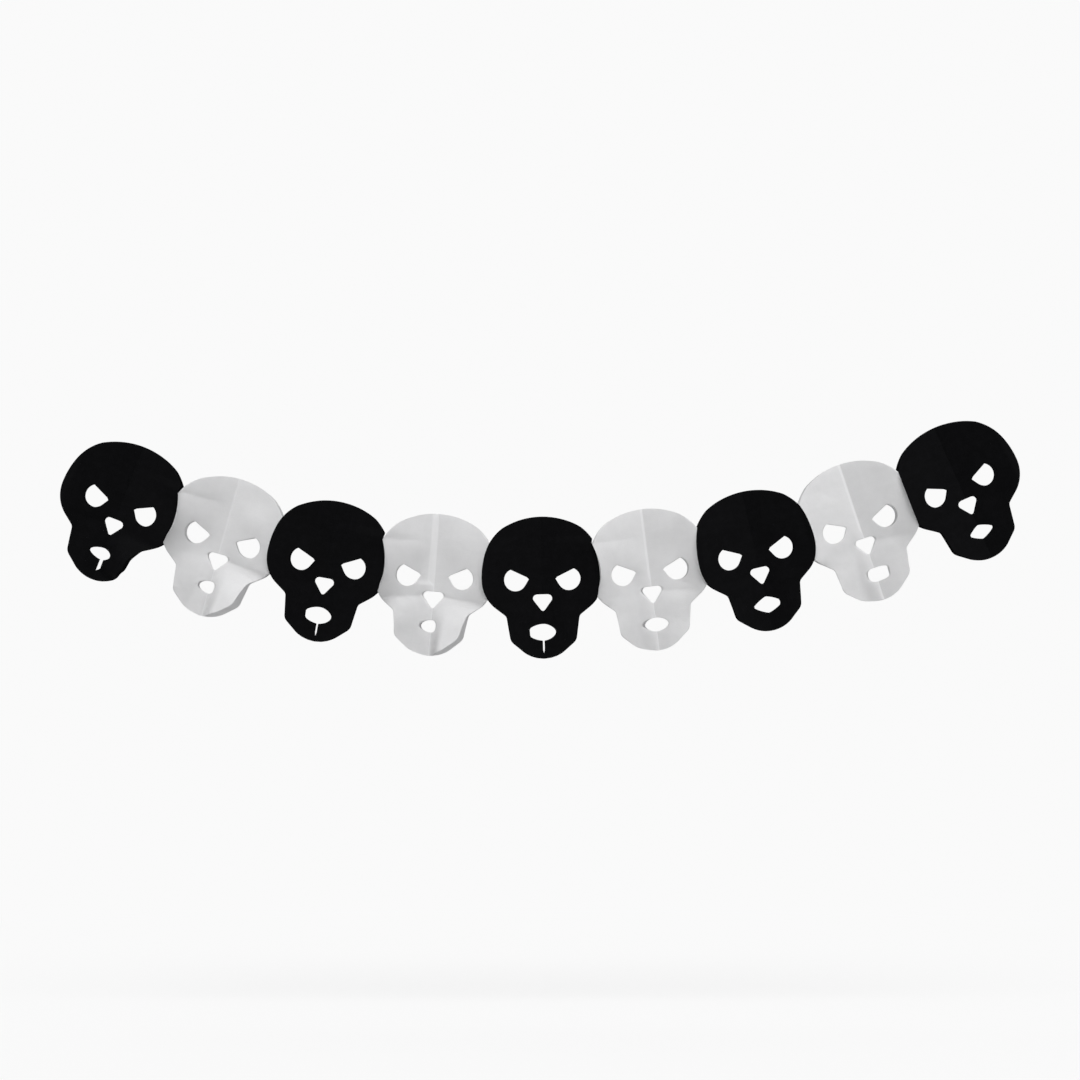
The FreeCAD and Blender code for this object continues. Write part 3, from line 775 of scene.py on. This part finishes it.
def sheet_mesh(name, points, faces, flat, glue):
    """A mesh of the sheet with its seams welded and its flat position as its UV map."""
    mesh = bpy.data.meshes.new(name)
    mesh.from_pydata(points, [], faces.tolist())
    flat_map = mesh.uv_layers.new(name="flat_sheet")
    corner = np.empty(len(mesh.loops), dtype=np.int32)
    mesh.loops.foreach_get("vertex_index", corner)
    flat_map.data.foreach_set("uv", (flat[corner] / FLAT_SPAN + 0.5).astype(np.float32).ravel())
    glued = mesh.attributes.new("glued", "FLOAT", "POINT")
    glued.data.foreach_set("value", glue.astype(np.float32))
    work = bmesh.new()
    work.from_mesh(mesh)
    bmesh.ops.remove_doubles(work, verts=work.verts, dist=WELD)
    bmesh.ops.dissolve_degenerate(work, edges=work.edges, dist=THIN_EDGE)
    work.to_mesh(mesh)
    work.free()
    mesh.shade_smooth()
    mesh.set_sharp_from_angle(angle=math.radians(SMOOTH_UNDER))
    return mesh


def looks_of(scene):
    """Everything that the sheets are worked out from, in one dictionary."""
    names = ("outline", "face", "folding", "paper")
    looks = {name: getattr(scene, "garland_" + name) for name in names}
    looks["curve"] = outline_curve(looks["outline"])
    end_fold = Fold(END_LEAN, looks["folding"])
    looks["places"] = hanging_places(looks["folding"], looks["outline"], end_fold)
    return looks


def fold_of(number, side, looks):
    """The outer fold of one side of a skull: its seam's lean and shift, or a free end flap."""
    seam = number - 1 if side == "right" else number - 2
    if not 0 <= seam < SKULLS - 1:
        return Fold(END_LEAN, looks["folding"])
    lean = SEAM_LEANS[seam] if side == "right" else -SEAM_LEANS[seam]
    shift = seam_shift(looks["curve"], looks["folding"], SEAM_HUGS[seam], SEAM_INSETS[seam])
    black = number % 2 == 1
    signed = shift if black else lambda z: -shift(z)
    return Fold(lean, looks["folding"], signed)


def make_sheet(number, side, looks):
    """One finished sheet, named after the node that it stands for."""
    shade = "black" if number % 2 else "white"
    name = "skull_%d_%s_%s_sheet" % (number, shade, side)
    fold = fold_of(number, side, looks)
    mouth = Mouth(*MOUTHS[number][side == "right"])
    seed = number * 10 + (5 if side == "right" else 0)
    front = Quarter(
        number, side, "front", looks, mouth, fold, seed,
        kick=pick(KICKS, number, side), swing=pick(SWINGS, number, side),
    )
    swing = pick(BACK_SWINGS, number, side)
    back = Quarter(number, side, "back", looks, mouth, fold, seed + 1, swing=swing)
    points, faces, flat, glue = Sheet(front, back, side).arrays(number, looks)
    mesh = sheet_mesh(name + "_tissue", points, faces, flat, glue)
    piece = add_object(name + "_tissue", mesh)
    wall = piece.modifiers.new("paper", "SOLIDIFY")
    wall.thickness, wall.offset = looks["folding"].paper, 0.0
    wall.use_even_offset = False
    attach(piece, "root")
    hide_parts(name)
    return piece


# Shader maths

class Value:
    """A number on the surface. Operators on it add Math nodes."""

    def __init__(self, build, socket):
        self.build, self.socket = build, socket

    def math(self, operation, *others, clamp=False):
        settings = {"operation": operation, "use_clamp": clamp}
        return self.build.value("Math", settings, (self, *others))

    def __add__(self, other):
        return self.math("ADD", other)

    __radd__ = __add__

    def __mul__(self, other):
        return self.math("MULTIPLY", other)

    __rmul__ = __mul__

    def __sub__(self, other):
        return self.math("SUBTRACT", other)

    def __rsub__(self, other):
        return self.build.value("Math", {"operation": "SUBTRACT"}, (other, self))

    def __truediv__(self, other):
        return self.math("DIVIDE", other)

    def __abs__(self):
        return self.math("ABSOLUTE")

    def clamped(self):
        return self.math("ADD", 0.0, clamp=True)


class Build:
    """Makes the nodes of one material or world."""

    def __init__(self, tree):
        self.tree = tree
        tree.nodes.clear()

    def node(self, kind, settings=None, sockets=None):
        """A shader node of a type: its settings first, then its sockets' values or links."""
        node = self.tree.nodes.new("ShaderNode" + kind)
        for name, value in (settings or {}).items():
            setattr(node, name, value)
        for name, value in (sockets or {}).items():
            self.join(value, node.inputs[name])
        return node

    def join(self, value, socket):
        if isinstance(value, Value):
            value = value.socket
        if isinstance(value, bpy.types.NodeSocket):
            self.tree.links.new(value, socket)
        else:
            socket.default_value = value

    def value(self, kind, settings, values):
        return Value(self, self.node(kind, settings, dict(enumerate(values))).outputs[0])

    def noise(self, vector, scale, detail, roughness, stretch=None):
        if stretch:
            mapping = self.node("Mapping", None, {"Vector": vector, "Scale": stretch})
            vector = mapping.outputs[0]
        node = self.node(
            "TexNoise", None,
            {"Vector": vector, "Scale": scale, "Detail": detail, "Roughness": roughness},
        )
        return Value(self, node.outputs[0])

    def mix_colour(self, factor, first, second):
        node = self.node("Mix", {"data_type": "RGBA"}, {0: factor, 6: first, 7: second})
        return node.outputs[2]

    def mix_shader(self, factor, first, second):
        sockets = {0: factor, 1: first, 2: second}
        return self.node("MixShader", None, sockets).outputs[0]

    def background(self, strength):
        sockets = {"Color": WHITE, "Strength": strength}
        return self.node("Background", None, sockets).outputs[0]


def new_material(name):
    """An empty material, and what makes its nodes."""
    material = bpy.data.materials.new(name)
    material.use_nodes = True
    return material, Build(material.node_tree)


def rgba(rgb, times=1.0):
    return tuple(channel * times for channel in rgb) + (1.0,)


def tissue_patterns(build):
    """Patterns of tissue paper on the flat sheet: cloudy pulp, fibres, fine crinkle, glue puckers.

    The flat map spans FLAT_SPAN metres, with the centreline and the eye level in its middle. out is
    the distance from the centreline. A ridge is 1 - 4 * |noise - 0.5|. Puckers run across where the
    paper is glued, beside the centreline and beside the outer fold."""
    flat = build.node("UVMap", {"uv_map": "flat_sheet"}).outputs[0]
    split = build.node("SeparateXYZ", None, {0: flat})
    out = abs(Value(build, split.outputs[0]) - 0.5) * FLAT_SPAN
    cloud = build.noise(flat, 22.0, 4.0, 0.62)
    fibre = build.noise(flat, 150.0, 2.0, 0.7, stretch=(1.0, 3.4, 1.0))
    cross = build.noise(flat, 170.0, 2.0, 0.7, stretch=(3.6, 1.0, 1.0))
    crinkle = build.noise(flat, 46.0, 5.0, 0.66)
    ridge = 1.0 - abs(crinkle - 0.5) * 4.0
    pucker = build.noise(flat, 16.0, 2.0, 0.5, stretch=(0.6, 7.0, 1.0))
    attribute = build.node("Attribute", {"attribute_name": "glued"})
    glued = Value(build, attribute.outputs["Fac"])
    near_centre = (1.0 - out / (11 * MM)).clamped()
    near_fold = (1.0 - abs(out - 51.5 * MM) / (9 * MM)).clamped()
    held = (near_centre + near_fold).clamped()
    relief = cloud * 0.35 + ridge.clamped() * 0.22 + (fibre + cross) * 0.16 + pucker * held * 0.5
    return {
        "glue": (glued * 5.0).clamped(), "cloud": cloud, "fibre": fibre + cross,
        "ridge": ridge, "relief": relief,
    }


def tissue_normal(build, relief, distance):
    """The normal of a relief that is distance high."""
    sockets = {"Strength": 0.85, "Distance": distance, "Height": relief}
    return build.node("Bump", None, sockets).outputs[0]


def black_tissue(paper):
    """Dyed black tissue: dull, slightly lighter where the pulp is thin, and with a painted sheen on
    its creases.
    """
    material, build = new_material("black_tissue")
    seen = tissue_patterns(build)
    thin = ((seen["cloud"] - 0.42) * 2.2 + (seen["fibre"] - 1.0) * 0.6).clamped()
    # painted sheen: the black is lightened on the ridges of the crinkle, as if its creases caught the
    # light
    painted_crease_sheen = (seen["ridge"] - 0.86).math("MULTIPLY", 3.0, clamp=True)
    base = build.mix_colour(thin, rgba(paper.black), rgba(paper.black, 1.9))
    base = build.mix_colour(painted_crease_sheen * 0.5, base, rgba(paper.black, 3.0))
    shader = build.node("BsdfPrincipled", None, {
        "Base Color": base,
        "Roughness": 0.62 + seen["cloud"] * 0.16,
        "Specular IOR Level": 0.03,
        "Normal": tissue_normal(build, seen["relief"], 0.35 * MM),
    })
    build.node("OutputMaterial", None, {"Surface": shader.outputs[0]})
    return material


def white_tissue(paper):
    """White tissue: soft white pulp with cloudy density, passing some light, denser where glued."""
    material, build = new_material("white_tissue")
    seen = tissue_patterns(build)
    dense = ((seen["cloud"] - 0.3) * 1.6).clamped()
    base = build.mix_colour(dense, rgba(paper.white, 0.955), rgba(paper.white, 1.03))
    fibres = (seen["fibre"] - 0.9).math("MULTIPLY", 0.35, clamp=True)
    base = build.mix_colour(fibres, base, rgba(paper.white, 1.1))
    base = build.mix_colour(seen["glue"] * 0.7, base, rgba(paper.white, 1.12))
    front = build.node("BsdfPrincipled", None, {
        "Base Color": base,
        "Roughness": 0.78 + seen["cloud"] * 0.12,
        "Specular IOR Level": 0.22,
        "Normal": tissue_normal(build, seen["relief"], 0.4 * MM),
    })
    passed = build.node("BsdfTranslucent", None, {"Color": rgba(paper.white, 1.12)})
    mixed = build.mix_shader(paper.through, front.outputs[0], passed.outputs[0])
    build.node("OutputMaterial", None, {"Surface": mixed})
    return material


# Stage

SHADOW_SHARE, SHADOW_GREY = 0.35, 0.70  # how much of a matt floor shows, and its grey

# The lamps, as seen from the garland's middle: the spread is in degrees, the side in metres
KEY_WAY, KEY_SPREAD = (0.02, -0.59, 0.81), 42
BACK_WAY, BACK_SPREAD = (-0.12, 0.80, 0.58), 60
FILL_WAY, FILL_SIDE = (1.3, -2.1, -0.05), 1.8
FAR = 3


def to_eye(build):
    """1 for rays from the camera, a mirror or through glass, and 0 for rays that carry light."""
    path = build.node("LightPath")
    names = ("Is Camera Ray", "Is Glossy Ray", "Is Transmission Ray")
    eye, mirror, glass = [Value(build, path.outputs[name]) for name in names]
    return (eye + mirror + glass).clamped()


def floor_material(stage, middle, reach):
    """Pale floor: it keeps the shadow near the garland, is an even ground further off, and throws
    back only part of the light that falls on it, so that the paper keeps its shading."""
    material, build = new_material("pale_floor")
    place = build.node("TexCoord").outputs["Object"]
    centred = build.node("VectorMath", {"operation": "SUBTRACT"}, {0: place, 1: middle})
    length_of = build.node("VectorMath", {"operation": "LENGTH"}, {0: centred.outputs[0]})
    near = (1.0 - Value(build, length_of.outputs["Value"]) / reach).clamped()
    fade = near * near * (3.0 - near * 2.0)

    def matt(grey):
        return build.node("BsdfPrincipled", None, {
            "Base Color": (grey, grey, grey, 1.0), "Roughness": 0.9, "Specular IOR Level": 0.1,
        }).outputs[0]

    even = build.node("Emission", None, {"Color": WHITE, "Strength": stage.pale})
    shown = build.mix_shader(fade * SHADOW_SHARE, even.outputs[0], matt(SHADOW_GREY))
    mixed = build.mix_shader(to_eye(build), matt(stage.bounce), shown)
    build.node("OutputMaterial", None, {"Surface": mixed})
    return material


def aim(thing, target):
    """Turns a lamp or the camera so that it looks at target, with Z up."""
    way = Vector(target) - thing.location
    thing.rotation_euler = way.to_track_quat("-Z", "Y").to_euler()


def add_lamp(name, kind, place, target, **settings):
    """A lamp of this kind, with these settings, that shines from place to target."""
    data = bpy.data.lights.new(name, kind)
    for key, value in settings.items():
        setattr(data, key, value)
    lamp = add_object(name, data)
    lamp.location = place
    aim(lamp, target)


# Operators

def dress(odd):
    """Makes the sheets of every odd or every even skull, in one material."""
    looks = looks_of(bpy.context.scene)
    material = (black_tissue if odd else white_tissue)(looks["paper"])
    for number in range(1 if odd else 2, SKULLS + 1, 2):
        for side in ("left", "right"):
            make_sheet(number, side, looks).data.materials.append(material)


class GARLAND_OT_black_sheets(bpy.types.Operator):
    """Fold the black tissue sheets of the odd skulls"""

    bl_idname = "garland.black_sheets"
    bl_label = "Black Skulls"

    def execute(self, context):
        dress(odd=True)
        return {"FINISHED"}


class GARLAND_OT_white_sheets(bpy.types.Operator):
    """Fold the white tissue sheets of the even skulls"""

    bl_idname = "garland.white_sheets"
    bl_label = "White Skulls"

    def execute(self, context):
        dress(odd=False)
        return {"FINISHED"}


class GARLAND_OT_stage(bpy.types.Operator):
    """Set up the pale floor, the lamps, the even light and the camera"""

    bl_idname = "garland.stage"
    bl_label = "Stage"

    def execute(self, context):
        stage = context.scene.garland_stage
        low, high = CAD_BOX
        middle = (low + high) / 2
        width = high.x - low.x
        self.floor(stage, low, middle, width)
        self.lights(stage, middle, width)
        self.camera(stage, middle, width)
        return {"FINISHED"}

    def floor(self, stage, low, middle, width):
        half, level = stage.floor_size / 2, low.z - stage.floor_gap
        ways = ((-1, -1), (1, -1), (1, 1), (-1, 1))
        corners = [(middle.x + x * half, middle.y + y * half, level) for x, y in ways]
        mesh = bpy.data.meshes.new("floor")
        mesh.from_pydata(corners, [], [(0, 1, 2, 3)])
        floor = add_object("floor", mesh)
        mesh.materials.append(floor_material(stage, (middle.x, middle.y, level), width * 1.5))

    def lights(self, stage, middle, width):
        key, back = (middle + Vector(way) * width * FAR for way in (KEY_WAY, BACK_WAY))
        fill = middle + Vector(FILL_WAY) * width
        add_lamp("key", "SUN", key, middle, angle=math.radians(KEY_SPREAD), energy=stage.key)
        add_lamp("back", "SUN", back, middle, angle=math.radians(BACK_SPREAD), energy=stage.back)
        add_lamp("fill", "AREA", fill, middle, shape="SQUARE", size=FILL_SIDE, energy=stage.fill)
        world = bpy.data.worlds.new("even_light")
        bpy.context.scene.world = world
        world.use_nodes = True
        build = Build(world.node_tree)
        even, shown = build.background(stage.sky), build.background(stage.pale)
        mixed = build.mix_shader(to_eye(build), even, shown)
        build.node("OutputWorld", None, {"Surface": mixed})

    def camera(self, stage, middle, width):
        data = bpy.data.cameras.new("camera")
        data.lens, data.clip_end = stage.lens, 50.0
        camera = add_object("camera", data)
        away = width / stage.filled / (data.sensor_width / data.lens)
        camera.location = middle + Vector((0.0, -away, 0.0))
        aim(camera, middle)
        bpy.context.scene.camera = camera
        bpy.context.scene.view_settings.view_transform = "Standard"


class GARLAND_PT_panel(bpy.types.Panel):
    bl_idname = "GARLAND_PT_panel"
    bl_label = "Paper Garland"
    bl_space_type = "VIEW_3D"
    bl_region_type = "UI"
    bl_category = "Garland"

    def draw(self, context):
        for operator in OPERATORS:
            self.layout.operator(operator.bl_idname)
        for name in GROUPS:
            group = getattr(context.scene, name)
            box = self.layout.box()
            for key in group.bl_rna.properties.keys():
                if key not in ("rna_type", "name"):
                    box.prop(group, key)


GROUPS = {
    "garland_outline": GARLAND_PG_outline,
    "garland_face": GARLAND_PG_face,
    "garland_folding": GARLAND_PG_folding,
    "garland_paper": GARLAND_PG_paper,
    "garland_stage": GARLAND_PG_stage,
}
OPERATORS = (GARLAND_OT_black_sheets, GARLAND_OT_white_sheets, GARLAND_OT_stage)
CLASSES = (*GROUPS.values(), *OPERATORS, GARLAND_PT_panel)


def register():
    for cls in CLASSES:
        bpy.utils.register_class(cls)
    for name, group in GROUPS.items():
        setattr(bpy.types.Scene, name, PointerProperty(type=group))


def unregister():
    for name in GROUPS:
        delattr(bpy.types.Scene, name)
    for cls in reversed(CLASSES):
        bpy.utils.unregister_class(cls)


def main():
    register()
    bpy.ops.garland.black_sheets()
    bpy.ops.garland.white_sheets()
    bpy.ops.garland.stage()


if __name__ == "__main__":
    main()
